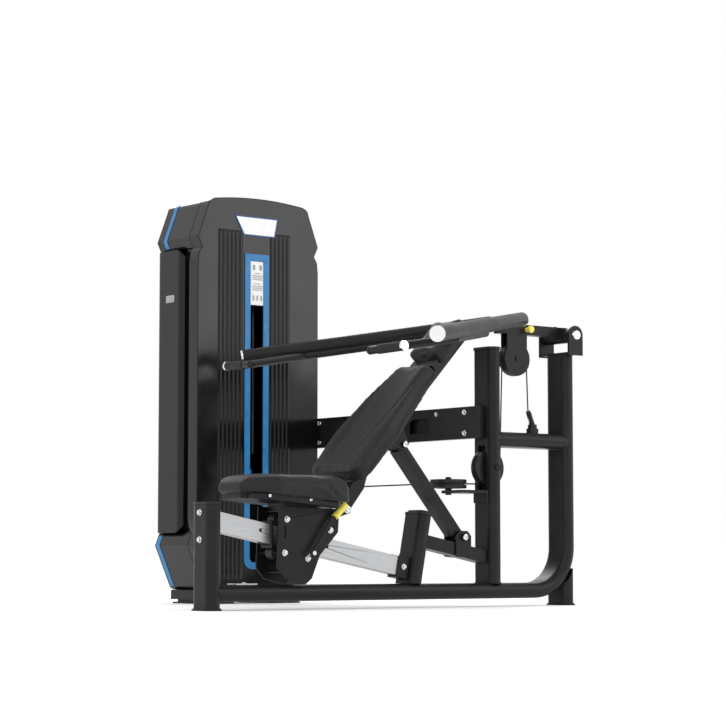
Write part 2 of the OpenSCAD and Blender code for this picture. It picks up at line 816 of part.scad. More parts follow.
module roller(x, z) {
    color("#3a3b3d") on_rail() translate([x, 0, z]) rotate([90, 0, 0]) difference() {
        cylinder(r = roller_r, h = 40, center = true);
        cylinder(r = 6, h = 60, center = true);
        for (s = [-1, 1]) translate([0, 0, s * 20]) difference() {
            cylinder(r = roller_r - 6, h = 4, center = true);
            cylinder(r = 11, h = 8, center = true);
        }
    }
}

module roller_top_front() { roller(top_rollers[0], roller_z); }

module roller_top_rear() { roller(top_rollers[1], roller_z); }

module roller_low_front() { roller(low_rollers[0], -roller_z); }

module roller_low_rear() { roller(low_rollers[1], -roller_z); }

// ---- seat ----

// Seat outline in plan: narrow nose in front, full width behind
module seat_plan(inset) {
    w = seat_half - inset;
    nose = 84 - inset;
    polygon([[84 + inset, -nose + 12], [102 + inset, -nose], [128, -w * 0.66], [158, -w * 0.93],
        [190, -w], [505 - inset, -w], [530 - inset, -w + 24], [530 - inset, w - 24],
        [505 - inset, w], [190, w], [158, w * 0.93], [128, w * 0.66], [102 + inset, nose],
        [84 + inset, nose - 12]]);
}

// The seat pad's underside falls towards the rear
seat_fall = 4.6;
seat_low = 427;                  // its height if it ran on to the front post's middle

// Steel plate that carries the seat pad, with the block that bolts to the carriage
module seat_plate() {
    color(black) {
        translate([0, 0, seat_low - 18.5]) rotate([0, seat_fall, 0]) linear_extrude(18)
            seat_plan(26);
        translate([300, -50, 358 + gap]) cube([150, 100, 26]);
    }
}

// Seat pad: the plan cut to its side profile
module seat_pad() {
    front = 84;
    back = 530;
    color("#1c1c1e") intersection() {
        translate([0, 0, 300]) linear_extrude(300) seat_plan(0);
        upright_plate([[front, seat_low - front * tan(seat_fall)],
            [back, seat_low - back * tan(seat_fall)], [back + 4, 440], [510, 466], [440, 478],
            [190, 480], [112, 476], [front, 456]], -250, 500);
    }
}

// ---- lock lever ----

// Flat bar of the lock lever, bent towards its grip
module lock_lever() {
    v = lever_tip - lever_pivot;
    color(black) difference() {
        translate([0, lever_y, 0]) rotate([90, 0, 0]) linear_extrude(5, center = true) {
            translate(lever_pivot) circle(r = 14);
            translate(lever_pivot) rotate(atan2(v[1], v[0])) translate([0, -8])
                square([norm(v), 16]);
            translate(lever_tip) circle(r = 8);
            translate(lever_tip) rotate(lever_lean) translate([0, -8]) square([14 - gap, 16]);
        }
        cross_pin(lever_pivot[0], lever_pivot[1], 10, 400);
    }
}

// Yellow grip of the lock lever
module lever_grip() {
    r = 13;
    color(yellow) translate([lever_tip[0], lever_y, lever_tip[1]]) rotate([0, -lever_lean, 0]) {
        translate([14, 0, 0]) rotate([0, 90, 0]) cylinder(r = r, h = 66);
        translate([80, 0, 0]) rotate([0, 90, 0]) cylinder(r1 = r, r2 = r - 3, h = 3);
    }
}

// ---- backrest ----

// Steel frame behind the back pad: hinge ears, spine, neck plate and the strut's ears
module back_frame() {
    spine = 45;
    under = -pad_t - 34;
    v = strut_top - back_foot;
    along = v[0] * cos(back_tilt) + v[1] * sin(back_tilt);
    down = v[1] * cos(back_tilt) - v[0] * sin(back_tilt);
    color(black) {
        on_back() {
            difference() {
                translate([20, -spine, under]) cube([810, 2 * spine, 32]);
                translate([24, -spine + 4, under + 4]) cube([802, 2 * spine - 8, 24]);
            }
            translate([back_len + 8, -70, under + 32 + gap]) cube([34, 140, 30]);
            for (s = [-1, 1]) translate([0, s > 0 ? 40 : -34, 0]) rotate([90, 0, 0])
                linear_extrude(6) polygon([[along - 46, under - gap], [along + 50, under - gap],
                    [along + 20, down - 16], [along - 20, down - 16]]);
        }
        for (s = [-1, 1]) difference() {
            union() {
                upright_plate([[hinge[0] - 18, hinge[1] - 8], [hinge[0] + 18, hinge[1] - 12],
                    [hinge[0] + 92, hinge[1] + 78], [hinge[0] + 112, hinge[1] + 140],
                    [hinge[0] + 72, hinge[1] + 146], [hinge[0] - 16, hinge[1] + 22]],
                    s > 0 ? spine + gap : -spine - gap - 6, 6);
                translate([hinge[0], s * (spine + gap + 3), hinge[1]]) rotate([90, 0, 0])
                    cylinder(r = 20, h = 6, center = true);
            }
            cross_pin(hinge[0], hinge[1], 14, 400);
        }
    }
    color(steel) for (s = [-1, 1]) translate([strut_top[0], s * 44, strut_top[1]])
        rotate([90, 0, 0]) cylinder(d = 24, h = 7, center = true);
    color(steel) cross_pin(strut_top[0], strut_top[1], 14, 80.5);
}

// Half of the back pad's outline, from its lower end to its upper end
back_edge = [[0, back_half - 46], [20, back_half - 12], [56, back_half], [230, back_half],
    [back_len - 70, back_half * 0.7], [back_len - 18, back_half * 0.64], [back_len, back_half * 0.5]];

module back_pad() {
    color("#1c1c1e") on_back() translate([0, 0, -pad_t]) linear_extrude(pad_t)
        polygon(concat(back_edge, [for (i = [len(back_edge) - 1:-1:0])
            [back_edge[i][0], -back_edge[i][1]]]));
}

module head_pad() {
    color("#1c1c1e") on_back() translate([head_from, 0, -pad_t]) linear_extrude(pad_t)
        translate([head_len / 2, 0]) round_rect(head_len, 2 * head_half, 24);
}

// ---- strut ----

// Channel that props the backrest on the slanted tube; its upper end is a wide eye
module strut() {
    dx = strut_top[0] - strut_low[0];
    dz = strut_top[1] - strut_low[1];
    len = norm([dx, dz]);
    half = 22;
    eye = 26;
    set = 12;                    // the channel lies this far below the line of its pins
    color(black) translate([strut_low[0], 0, strut_low[1]]) rotate([0, atan2(dx, dz), 0])
        difference() {
            union() {
                translate([-half - set, -half, 30]) cube([2 * half, 2 * half, len - 40]);
                translate([-17, -half, 0]) cube([34, 2 * half, len]);
                cross_pin(0, 0, 40, 2 * half);
                cross_pin(0, len, 2 * eye, 2 * half);
            }
            translate([-half - set + 5, -half + 6, 24]) cube([2 * half, 2 * half - 12, len - 56]);
            cross_pin(0, 0, 14.1, 200);
            cross_pin(0, len, 14 + 2 * strut_play, 200);
        }
}

// ---- press arms ----

// Mast on the pivot, with the cross tube and the moving pulley's housing
module mast() {
    z = pivot_z + 14;
    front = pivot_x - mast_len;
    v = (arm_front - arm_rear) / norm(arm_front - arm_rear);
    color(black) {
        difference() {
            union() {
                cross_pin(pivot_x, pivot_z, 58, 152);
                translate([front, -22, z - 20]) cube([mast_len, 44, 40]);
                translate([pivot_x - 30, -40, pivot_z - 18]) cube([30, 80, 50]);
                translate([front, -86, z + 5]) cube([44, 172, 38]);
            }
            cross_pin(pivot_x, pivot_z, 2 * shaft_r, 260);
            translate([pop_x, -40, z]) rotate([90, 0, 0]) cylinder(r = 6.1, h = 60, center = true);
            for (m = [false, true]) rod(m ? mirror_y(arm_rear - 20 * v) : arm_rear - 20 * v,
                m ? mirror_y(arm_rear + 200 * v) : arm_rear + 200 * v, arm_d + 2);
        }
        for (s = [-1, 1]) difference() {
            union() {
                translate([moving_pos[0], s * 17, moving_pos[2]]) rotate([90, 0, 0])
                    cylinder(r = 66, h = 5, center = true);
                translate([moving_pos[0] - 52, s > 0 ? 14.5 : -19.5, moving_pos[2]])
                    cube([104, 5, z - 20 - moving_pos[2]]);
            }
            cross_pin(moving_pos[0], moving_pos[2], 14, 100);
        }
    }
    color(steel) {
        cross_pin(moving_pos[0], moving_pos[2], 13.9, 39);
        for (s = [-1, 1]) translate([moving_pos[0], s * 21.5, moving_pos[2]])
            rotate([90, 0, 0]) cylinder(r = 10, h = 4, center = true);
    }
}

// One press arm with its welded handle
module arm(m) {
    a = m ? mirror_y(arm_rear) : arm_rear;
    b = m ? mirror_y(arm_front) : arm_front;
    h1 = m ? mirror_y(handle_low) : handle_low;
    h2 = m ? mirror_y(grip_end) : grip_end;
    off = m ? mirror_y(handle_off) : handle_off;
    start = a + (b - a) * handle_share[0] + off;
    leave = a + (b - a) * handle_share[1] + off;
    knuckle = handle_d + 1;
    color(black) {
        rod(a, b, arm_d);
        rod(start, leave, handle_d);
        translate(leave) sphere(d = knuckle);
        rod(leave, h1, handle_d);
        translate(h1) sphere(d = knuckle);
        rod(h1, h1 + (h2 - h1) * grip_from, handle_d);
    }
}

module arm_near() { arm(true); }

module arm_far() { arm(false); }

// Rubber grips on the ends of both handles
module hand_grips() {
    color("#222222") for (m = [false, true]) {
        h1 = m ? mirror_y(handle_low) : handle_low;
        h2 = m ? mirror_y(grip_end) : grip_end;
        rod(h1 + (h2 - h1) * (grip_from + 0.005), h2, grip_d);
    }
}

// Chromed end caps of the arms and of the grips
module arm_caps() {
    color(steel) for (m = [false, true]) {
        a = m ? mirror_y(arm_rear) : arm_rear;
        b = m ? mirror_y(arm_front) : arm_front;
        h1 = m ? mirror_y(handle_low) : handle_low;
        h2 = m ? mirror_y(grip_end) : grip_end;
        along = (b - a) / norm(b - a);
        out = (h2 - h1) / norm(h2 - h1);
        rod(b + along * gap, b + along * 8, arm_d + 1);
        rod(a - along * 8, a - along * gap, arm_d + 1);
        rod(h2 + out * gap, h2 + out * 10, grip_d + 1);
    }
}

// Spring pin with the yellow knob that fixes the arms' start position
module pop_pin() {
    z = pivot_z + 14;
    color(yellow) translate([pop_x, -46, z]) rotate([90, 0, 0]) {
        cylinder(r = 14, h = 7);
        translate([0, 0, 7]) cylinder(r1 = 14, r2 = 10, h = 4);
    }
    color(steel) translate([pop_x, -11, z]) rotate([90, 0, 0]) cylinder(r = 6, h = 35);
    color(steel) translate([pop_x, -22 - gap, z]) rotate([90, 0, 0]) cylinder(r = 9, h = 23.5);
}

// ---- moving weights ----

// Head plate, the two selected plates and the stem that passes down through the others
module stack_head() {
    z = stack_z + plates_down * plate_pitch;
    color(black) for (i = [0:1]) weight_plate(z + i * plate_pitch, plate_pitch - 1);
    color(steel) {
        difference() {
            translate([stack_x - plate_x / 2, stack_y - plate_dy / 2, z + 2 * plate_pitch])
                cube([plate_x, plate_dy, 34]);
            for (s = [-1, 1]) translate([stack_x + s * rod_pitch / 2, stack_y, z])
                cylinder(r = guide_r + 0.6, h = 200);
        }
        difference() {
            translate([stack_x, stack_y, stack_z + 8]) cylinder(r = 15, h = z - stack_z + 52);
            for (i = [0:plates_down + 1]) translate([stack_x, stack_y,
                stack_z + (i + 0.5) * plate_pitch - 0.5]) rotate([90, 0, 0])
                    cylinder(r = 6, h = 60, center = true);
        }
        translate([stack_x, stack_y, z + 2 * plate_pitch + 34 + gap]) cylinder(r = 14, h = 25);
    }
}

// Selector pin with its blue knob
module selector_pin() {
    z = stack_z + (plates_down + 0.5) * plate_pitch - 0.5;
    color(steel) translate([stack_x, stack_y - plate_dy / 2 - 30, z]) rotate([-90, 0, 0])
        cylinder(r = 5.6, h = 104);
    color(blue) translate([stack_x, stack_y - plate_dy / 2 - 2, z]) rotate([90, 0, 0]) {
        cylinder(r = 12, h = 36);
        translate([0, 0, 36]) cylinder(r1 = 12, r2 = 16, h = 12);
    }
}

// ---- pulleys ----

module pulley_across(pos, r, line_r, t, bore) {
    color("#26272a") translate(pos) rotate([90, 0, 0]) pulley(r, line_r, t, bore);
}

module moving_pulley() { pulley_across(moving_pos, pulley_r - 3, groove, pulley_t, 7.05); }

module post_pulley() { pulley_across(post_pos, pulley_r, groove, wide_t, 8.05); }

module turn_pulley() {
    color("#26272a") translate(turn_pos) pulley(pulley_r, groove, wide_t, 8.05);
}

module low_pulley() {
    color("#26272a") translate(low_pos) rotate([0, 90, 0]) pulley(pulley_r, groove, pulley_t, 7.05);
}

module top_pulley_in() {
    pulley_across([run_x - small_groove, stack_y, top_z], small_r, small_groove, pulley_t, 6.05);
}

module top_pulley_out() {
    pulley_across([stack_x + small_groove, stack_y, top_z], small_r, small_groove, pulley_t, 6.05);
}

base_tube();
front_post();
main_post();
link_tube();
foot_plates();
rail();
rail_brackets();
rail_post();
slant_tube();
strut_clevis();
pivot_bracket();
pivot_shaft();
cable_anchor();
pulley_plate();
cable_duct();
frame_bolts();
tube_plugs();
tower_base();
tower_frame();
guide_rods();
weight_plates();
stack_buffers();
front_shroud();
rear_shroud();
upper_cap();
lower_cap();
blue_trims();
pull_cable();
run_cable();
stack_cable();
carriage_near();
carriage_far();
carriage_bridge();
carriage_bolts();
seat_plate();
seat_pad();
lock_lever();
lever_grip();
back_frame();
back_pad();
head_pad();
strut();
mast();
arm_near();
arm_far();
hand_grips();
arm_caps();
pop_pin();
stack_head();
selector_pin();
moving_pulley();
post_pulley();
turn_pulley();
low_pulley();
top_pulley_in();
top_pulley_out();
roller_top_front();
roller_top_rear();
roller_low_front();
roller_low_rear();
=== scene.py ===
"""Looks of the adjustable chest press machine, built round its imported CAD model."""
import json
import math

import bmesh
import bpy
from mathutils import Matrix, Vector


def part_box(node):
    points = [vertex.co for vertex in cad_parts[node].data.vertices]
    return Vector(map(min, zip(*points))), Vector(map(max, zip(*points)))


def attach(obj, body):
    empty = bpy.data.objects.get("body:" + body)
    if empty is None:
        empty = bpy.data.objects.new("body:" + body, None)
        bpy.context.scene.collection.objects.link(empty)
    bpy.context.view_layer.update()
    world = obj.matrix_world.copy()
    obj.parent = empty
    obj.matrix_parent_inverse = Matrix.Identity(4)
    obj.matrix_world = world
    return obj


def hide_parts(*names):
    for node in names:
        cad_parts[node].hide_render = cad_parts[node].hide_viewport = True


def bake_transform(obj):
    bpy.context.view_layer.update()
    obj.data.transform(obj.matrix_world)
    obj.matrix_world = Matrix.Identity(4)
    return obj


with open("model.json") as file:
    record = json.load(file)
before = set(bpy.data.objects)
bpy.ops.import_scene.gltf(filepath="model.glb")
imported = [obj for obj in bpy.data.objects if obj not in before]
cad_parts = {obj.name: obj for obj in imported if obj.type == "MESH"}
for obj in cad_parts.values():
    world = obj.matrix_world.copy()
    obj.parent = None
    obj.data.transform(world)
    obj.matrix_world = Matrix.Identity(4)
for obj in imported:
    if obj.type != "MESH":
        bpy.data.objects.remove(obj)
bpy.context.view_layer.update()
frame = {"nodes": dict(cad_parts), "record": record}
SCENE = bpy.context.scene
NODES = frame["nodes"]

# ---- camera, floor and light ----

LENS_MM = 113.8
EYE = Vector((-4.594, -6.779, 0.18))
VIEW_AZIMUTH = math.radians(38)      # to the right of +Y
VIEW_PITCH = math.radians(4.9)


def make_camera():
    """The photograph's long lens, low and in front of the bench, tilted a little up."""
    data = bpy.data.cameras.new("camera")
    data.lens = LENS_MM
    data.sensor_width = 36
    camera = bpy.data.objects.new("camera", data)
    camera.location = EYE
    camera.rotation_euler = (math.radians(90) + VIEW_PITCH, 0, -VIEW_AZIMUTH)
    SCENE.collection.objects.link(camera)
    SCENE.camera = camera


def area_light(name, place, target, size, power, color=(1, 1, 1)):
    """A soft box that looks at a point."""
    data = bpy.data.lights.new(name, "AREA")
    data.shape = "RECTANGLE"
    data.size, data.size_y = size
    data.energy = power
    data.color = color
    lamp = bpy.data.objects.new(name, data)
    lamp.location = place
    lamp.rotation_euler = (Vector(target) - Vector(place)).to_track_quat("-Z", "Y").to_euler()
    SCENE.collection.objects.link(lamp)


def make_lights():
    area_light("key", (-3.2, -3.4, 4.2), (0.8, 0.3, 0.6), (2.4, 2.4), 34)
    area_light("fill", (3.8, -3.2, 2.4), (0.9, 0.4, 0.7), (1.6, 2.2), 25)
    area_light("rim", (2.6, 4.2, 3.6), (0.9, 0.6, 0.8), (3.0, 1.4), 60)
    world = bpy.data.worlds.new("studio")
    world.use_nodes = True
    back = world.node_tree.nodes["Background"]
    back.inputs["Color"].default_value = (1, 1, 1, 1)
    back.inputs["Strength"].default_value = 1.0
    SCENE.world = world
    SCENE.view_settings.view_transform = "Standard"


def make_floor(material):
    bpy.ops.mesh.primitive_plane_add(size=60, location=(0, 0, -0.0004))
    floor = bpy.context.object
    floor.name = "floor"
    floor.data.materials.append(material)


# ---- materials ----


class Shader:
    """A material with its Principled shader, and short ways to add nodes to it."""

    def __init__(self, name, color, roughness, metallic=0.0):
        self.material = bpy.data.materials.new(name)
        self.material.use_nodes = True
        self.tree = self.material.node_tree
        self.out = self.tree.nodes["Principled BSDF"]
        self.set("Base Color", (*color, 1))
        self.set("Roughness", roughness)
        self.set("Metallic", metallic)

    def set(self, socket, value):
        self.out.inputs[socket].default_value = value
        return self

    def add(self, kind, **values):
        node = self.tree.nodes.new(kind)
        for key, value in values.items():
            if key in node.inputs:
                node.inputs[key].default_value = value
            else:
                setattr(node, key, value)
        return node

    def link(self, source, target):
        self.tree.links.new(source, target)

    def place(self, scale=(1, 1, 1), rotation=(0, 0, 0)):
        """Object coordinates, in metres, scaled and turned."""
        coords = self.add("ShaderNodeTexCoord")
        mapping = self.add("ShaderNodeMapping")
        mapping.inputs["Scale"].default_value = scale
        mapping.inputs["Rotation"].default_value = rotation
        self.link(coords.outputs["Object"], mapping.inputs["Vector"])
        return mapping.outputs["Vector"]

    def noise(self, scale, detail=4.0, place=None, rough=0.55):
        node = self.add("ShaderNodeTexNoise", Scale=scale, Detail=detail, Roughness=rough)
        self.link(place or self.place(), node.inputs["Vector"])
        return node.outputs["Fac"]

    def ramp(self, value, low, high, a, b):
        """Value from low..high turned into a..b."""
        node = self.add("ShaderNodeMapRange")
        node.inputs["From Min"].default_value = low
        node.inputs["From Max"].default_value = high
        node.inputs["To Min"].default_value = a
        node.inputs["To Max"].default_value = b
        self.link(value, node.inputs["Value"])
        return node.outputs["Result"]

    def tint(self, value, dark, light):
        """Base colour between two colours."""
        node = self.add("ShaderNodeMix", data_type="RGBA")
        for socket, color in zip(node.inputs[6:8], (dark, light)):
            socket.default_value = (*color, 1)
        self.link(value, node.inputs[0])
        self.link(node.outputs[2], self.out.inputs["Base Color"])
        return self

    def rough(self, value):
        self.link(value, self.out.inputs["Roughness"])
        return self

    def bump(self, value, strength, distance=0.001):
        node = self.add("ShaderNodeBump", Strength=strength, Distance=distance)
        self.link(value, node.inputs["Height"])
        previous = self.out.inputs["Normal"].links
        if previous:
            self.link(previous[0].from_socket, node.inputs["Normal"])
        self.link(node.outputs["Normal"], self.out.inputs["Normal"])
        return self


def powder_black():
    """Satin powder coat: fine orange peel, faint dust and handling marks."""
    m = Shader("powder_black", (0.011, 0.011, 0.012), 0.36)
    marks = m.noise(9, 5)
    m.tint(m.ramp(marks, 0.35, 0.75, 0, 1), (0.008, 0.008, 0.009), (0.014, 0.014, 0.015))
    m.rough(m.ramp(marks, 0.3, 0.75, 0.30, 0.44))
    m.bump(m.noise(900, 2), 0.18, 0.0002)
    m.set("Specular IOR Level", 0.22)
    return m.material


def gloss_shell():
    """High gloss moulded shell with slow waviness."""
    m = Shader("gloss_shell", (0.004, 0.004, 0.005), 0.14)
    m.rough(m.ramp(m.noise(7, 4), 0.3, 0.7, 0.09, 0.19))
    m.tint(m.noise(4, 3), (0.003, 0.003, 0.004), (0.005, 0.005, 0.006))
    m.bump(m.noise(5, 2), 0.10, 0.004)
    m.set("Specular IOR Level", 0.34)
    return m.material


def leather():
    """Black upholstery with a fine pebble grain."""
    m = Shader("leather", (0.009, 0.009, 0.010), 0.46)
    cells = m.add("ShaderNodeTexVoronoi", Scale=420, feature="DISTANCE_TO_EDGE")
    m.link(m.place(), cells.inputs["Vector"])
    creases = m.ramp(cells.outputs["Distance"], 0.0, 0.22, 0, 1)
    wear = m.noise(6, 4)
    m.tint(m.ramp(wear, 0.35, 0.7, 0, 1), (0.007, 0.007, 0.008), (0.012, 0.012, 0.013))
    m.rough(m.ramp(wear, 0.3, 0.7, 0.42, 0.56))
    m.bump(creases, 0.30, 0.0004)
    m.bump(m.noise(60, 3), 0.15, 0.0012)
    m.set("Sheen Weight", 0.05).set("Sheen Roughness", 0.4).set("Specular IOR Level", 0.28)
    return m.material


def brushed(name, color, tilt=0.0):
    """Stainless steel, brushed lengthways."""
    m = Shader(name, color, 0.3, 1.0)
    streaks = m.noise(1, 6, m.place((6, 900, 900), (0, tilt, 0)))
    m.rough(m.ramp(streaks, 0.3, 0.7, 0.24, 0.42))
    dark = tuple(c * 0.84 for c in color)
    m.tint(m.ramp(streaks, 0.3, 0.7, 0, 1), dark, color)
    m.bump(streaks, 0.06, 0.0002)
    m.set("Anisotropic", 0.5)
    return m.material


def chrome():
    """Polished chrome with faint smears."""
    m = Shader("chrome", (0.78, 0.79, 0.80), 0.08, 1.0)
    smear = m.noise(40, 4)
    m.rough(m.ramp(smear, 0.35, 0.75, 0.06, 0.2))
    m.tint(smear, (0.70, 0.71, 0.72), (0.84, 0.84, 0.85))
    return m.material


def moulded(name, dark, light, roughness, grain=700, shine=0.4):
    """Injection moulded plastic with a fine spark-eroded texture."""
    m = Shader(name, light, roughness)
    m.tint(m.ramp(m.noise(30, 4), 0.3, 0.7, 0, 1), dark, light)
    m.rough(m.ramp(m.noise(20, 3), 0.3, 0.7, roughness - 0.06, roughness + 0.08))
    m.bump(m.noise(grain, 2), 0.15, 0.0003)
    m.set("Specular IOR Level", shine)
    return m.material


def cast_iron():
    """Painted cast weights: a coarse skin under matt paint."""
    m = Shader("cast_iron", (0.012, 0.012, 0.013), 0.5)
    skin = m.noise(160, 5)
    m.tint(skin, (0.008, 0.008, 0.009), (0.018, 0.018, 0.019))
    m.rough(m.ramp(skin, 0.3, 0.7, 0.45, 0.6))
    m.bump(skin, 0.4, 0.0008)
    m.set("Specular IOR Level", 0.25)
    return m.material


def floor_paint():
    m = Shader("floor_paint", (0.96, 0.96, 0.96), 0.7)
    m.tint(m.noise(3, 3), (0.95, 0.95, 0.95), (0.975, 0.975, 0.975))
    m.set("Specular IOR Level", 0.1)
    m.set("Emission Color", (1, 1, 1, 1)).set("Emission Strength", 0.15)
    return m.material


M = {
    "black_steel": powder_black(),
    "gloss_shell": gloss_shell(),
    "leather": leather(),
    "stainless": brushed("stainless", (0.55, 0.56, 0.57), math.radians(-10.9)),
    "chrome": chrome(),
    # A darker brushed steel that stands in for the chrome guide rods: painted shade, not their own colour.
    "painted_shade_steel": brushed("painted_shade_steel", (0.16, 0.16, 0.17)),
    "black_plastic": moulded("black_plastic", (0.010, 0.010, 0.011), (0.018, 0.018, 0.019), 0.4, shine=0.3),
    "cast_weights": cast_iron(),
    "rubber": moulded("rubber", (0.010, 0.010, 0.010), (0.020, 0.020, 0.020), 0.62, 1400, 0.25),
    "blue_plastic": moulded("blue_plastic", (0.012, 0.16, 0.38), (0.020, 0.21, 0.48), 0.34),
    "cable_sheath": moulded("cable_sheath", (0.012, 0.012, 0.013), (0.022, 0.022, 0.023), 0.36),
    "yellow_plastic": moulded("yellow_plastic", (0.80, 0.69, 0.10), (0.92, 0.82, 0.14), 0.36),
    "label_white": moulded("label_white", (0.80, 0.80, 0.80), (0.90, 0.90, 0.90), 0.3, 300),
    "label_grey": moulded("label_grey", (0.28, 0.28, 0.29), (0.36, 0.36, 0.37), 0.4, 300),
    "badge_rim": moulded("badge_rim", (0.006, 0.05, 0.17), (0.010, 0.08, 0.24), 0.3, 300),
}


# ---- mesh helpers ----

X, Y, Z = Vector((1, 0, 0)), Vector((0, 1, 0)), Vector((0, 0, 1))


def soften(obj, width, angle=32, segments=2):
    """Small rounded edges and smooth shading, with no change to the vertices below."""
    for poly in obj.data.polygons:
        poly.use_smooth = True
    weld = obj.modifiers.new("weld", "WELD")
    weld.merge_threshold = 0.00001
    bevel = obj.modifiers.new("bevel", "BEVEL")
    bevel.width = width
    bevel.segments = segments
    bevel.limit_method = "ANGLE"
    bevel.angle_limit = math.radians(angle)
    flatten(obj)


def flatten(obj):
    """Normals led by the large faces, so that flat plates shade flat."""
    normals = obj.modifiers.new("normals", "WEIGHTED_NORMAL")
    normals.mode = "FACE_AREA"
    normals.weight = 100


def piece(name, verts, faces, body, material):
    """A new object from points and faces that rides on a body, or on none yet."""
    mesh = bpy.data.meshes.new(name)
    mesh.from_pydata([tuple(v) for v in verts], [], faces)
    work = bmesh.new()
    work.from_mesh(mesh)
    bmesh.ops.recalc_face_normals(work, faces=work.faces)
    work.to_mesh(mesh)
    work.free()
    mesh.materials.append(M[material])
    obj = bpy.data.objects.new(name, mesh)
    SCENE.collection.objects.link(obj)
    if body:
        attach(obj, body)
    return obj


class Build:
    """Collects the points and faces of several solids that make one piece."""

    def __init__(self):
        self.verts = []
        self.faces = []

    def add(self, verts, faces):
        first = len(self.verts)
        self.verts += verts
        self.faces += [[first + i for i in face] for face in faces]

    def prism(self, outline, origin, u, v, thickness):
        """An outline in the plane of u and v, extruded along their normal."""
        low = [origin + u * a + v * b for a, b in outline]
        n = len(low)
        high = [point + u.cross(v) * thickness for point in low]
        sides = [[i, (i + 1) % n, n + (i + 1) % n, n + i] for i in range(n)]
        self.add(low + high, [list(range(n))[::-1], list(range(n, 2 * n))] + sides)

    def rings(self, rings, closed):
        """Skin over rings of points; the row of rings may be closed as well."""
        n = len(rings[0])
        count = len(rings)
        faces = []
        for r in range(count if closed else count - 1):
            a, b = r * n, ((r + 1) % count) * n
            faces += [[a + i, a + (i + 1) % n, b + (i + 1) % n, b + i] for i in range(n)]
        if not closed:
            faces += [list(range(n))[::-1], list(range((count - 1) * n, count * n))]
        self.add([p for ring in rings for p in ring], faces)

    def make(self, name, body, material, bevel=0.0):
        obj = piece(name, self.verts, self.faces, body, material)
        if bevel:
            soften(obj, bevel)
        return obj


def rounded(w, h, r, at=(0, 0), steps=5):
    """Outline of a rounded rectangle about a point."""
    points = []
    for corner, (sx, sy) in enumerate(((1, 1), (-1, 1), (-1, -1), (1, -1))):
        for i in range(steps + 1):
            a = math.radians(90 * corner + 90 * i / steps)
            points.append((at[0] + sx * (w / 2 - r) + r * math.cos(a),
                           at[1] + sy * (h / 2 - r) + r * math.sin(a)))
    return points


def circle(r, count, at=(0, 0)):
    turns = [2 * math.pi * i / count for i in range(count)]
    return [(at[0] + r * math.cos(a), at[1] + r * math.sin(a)) for a in turns]


def smoothstep(low, high, value):
    t = min(max((value - low) / (high - low), 0.0), 1.0)
    return t * t * (3 - 2 * t)


# ---- weld beads ----

BEAD_STEP = 0.0035                   # length of one ripple of a bead


def resample(path, step):
    """Points at equal steps round a closed path."""
    ends = path[1:] + path[:1]
    out = []
    for a, b in zip(path, ends):
        count = max(1, round((b - a).length / step))
        out += [a.lerp(b, i / count) for i in range(count)]
    return out


def bead(build, path, radius, up):
    """Rippled fillet along a closed path; up is the axis that the path runs round."""
    points = resample(path, BEAD_STEP)
    n = len(points)
    rings = []
    for i, point in enumerate(points):
        along = (points[(i + 1) % n] - points[i - 1]).normalized()
        out = along.cross(up).normalized()
        size = radius * (1.12 if i % 2 else 0.86)
        rings.append([point + (out * math.cos(a) + up * math.sin(a)) * size
                      for a in (2 * math.pi * k / 8 for k in range(8))])
    build.rings(rings, True)


def oval_path(centre, u, v, narrow, wide, steps=10):
    """Flat-oval outline about a point, its long side along v."""
    r = narrow / 2
    flat = wide / 2 - r
    points = []
    for side in (1, -1):
        for i in range(steps + 1):
            a = math.radians(180 * i / steps)
            points.append(centre + u * (side * r * math.cos(a)) + v * (side * (flat + r * math.sin(a))))
    return points


FINE_BEVEL = {"pull_cable": 0, "run_cable": 0, "stack_cable": 0, "weight_plates": 0.0015,
              "front_shroud": 0.007, "upper_cap": 0.004, "lower_cap": 0.004, "rear_shroud": 0.002,
              "frame_bolts": 0.0020}
# The chrome guide rods get a dark steel instead of chrome: painted shade on them.
PAINTED_SHADE_PARTS = {"guide_rods": "painted_shade_steel"}


def dress_nodes():
    """Every CAD node takes its record slot's material, soft edges and smooth shading; the chrome guide rods
    take a darker steel instead, as painted shade.
    """
    slots = {row["node"]: row["material_slot"] for row in frame["record"]["subparts"]}
    for name, node in NODES.items():
        node.data.materials.clear()
        node.data.materials.append(M[PAINTED_SHADE_PARTS.get(name, slots[name])])
        width = FINE_BEVEL.get(name, 0.0012)
        soften(node, width, segments=4 if width > 0.003 else 2)
        if FINE_BEVEL.get(name) == 0:
            node.modifiers.remove(node.modifiers["bevel"])


# ---- pads ----

BACK_TILT = math.radians(46.5)
BACK_FOOT = Vector((0.542, 0, 0.499))
BACK_LONG = Vector((math.cos(BACK_TILT), 0, math.sin(BACK_TILT)))
BACK_OUT = Vector((-math.sin(BACK_TILT), 0, math.cos(BACK_TILT)))
PAD_T = 0.058
BACK_LEN = 0.598
VOXEL = 0.006


def evaluated(obj):
    """A plain mesh of the object with its modifiers applied."""
    graph = bpy.context.evaluated_depsgraph_get()
    graph.update()
    return bpy.data.meshes.new_from_object(obj.evaluated_get(graph))


def remeshed(name, node, inset, base, out):
    """Even mesh of a CAD pad, a little smaller; its edges are rounded away from its base."""
    obj = bpy.data.objects.new(name, NODES[node].data.copy())
    SCENE.collection.objects.link(obj)
    low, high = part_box(node)
    centre = (low + high) / 2
    size = high - low
    shrink = Matrix.Diagonal([1 - 2 * inset / s for s in size]).to_4x4()
    obj.data.transform(Matrix.Translation(centre) @ shrink @ Matrix.Translation(-centre))
    remesh = obj.modifiers.new("remesh", "REMESH")
    remesh.mode = "VOXEL"
    remesh.voxel_size = VOXEL
    sharp = [v.co.copy() for v in evaluated(obj).vertices]
    relax = obj.modifiers.new("relax", "SMOOTH")
    relax.factor = 0.5
    relax.iterations = 14
    mesh = evaluated(obj)
    for vertex, start in zip(mesh.vertices, sharp):
        share = smoothstep(0.006, 0.025, (start - base).dot(out))
        vertex.co = start.lerp(vertex.co, 0.25 + 0.75 * share)
    obj.modifiers.clear()
    obj.data = mesh
    return obj


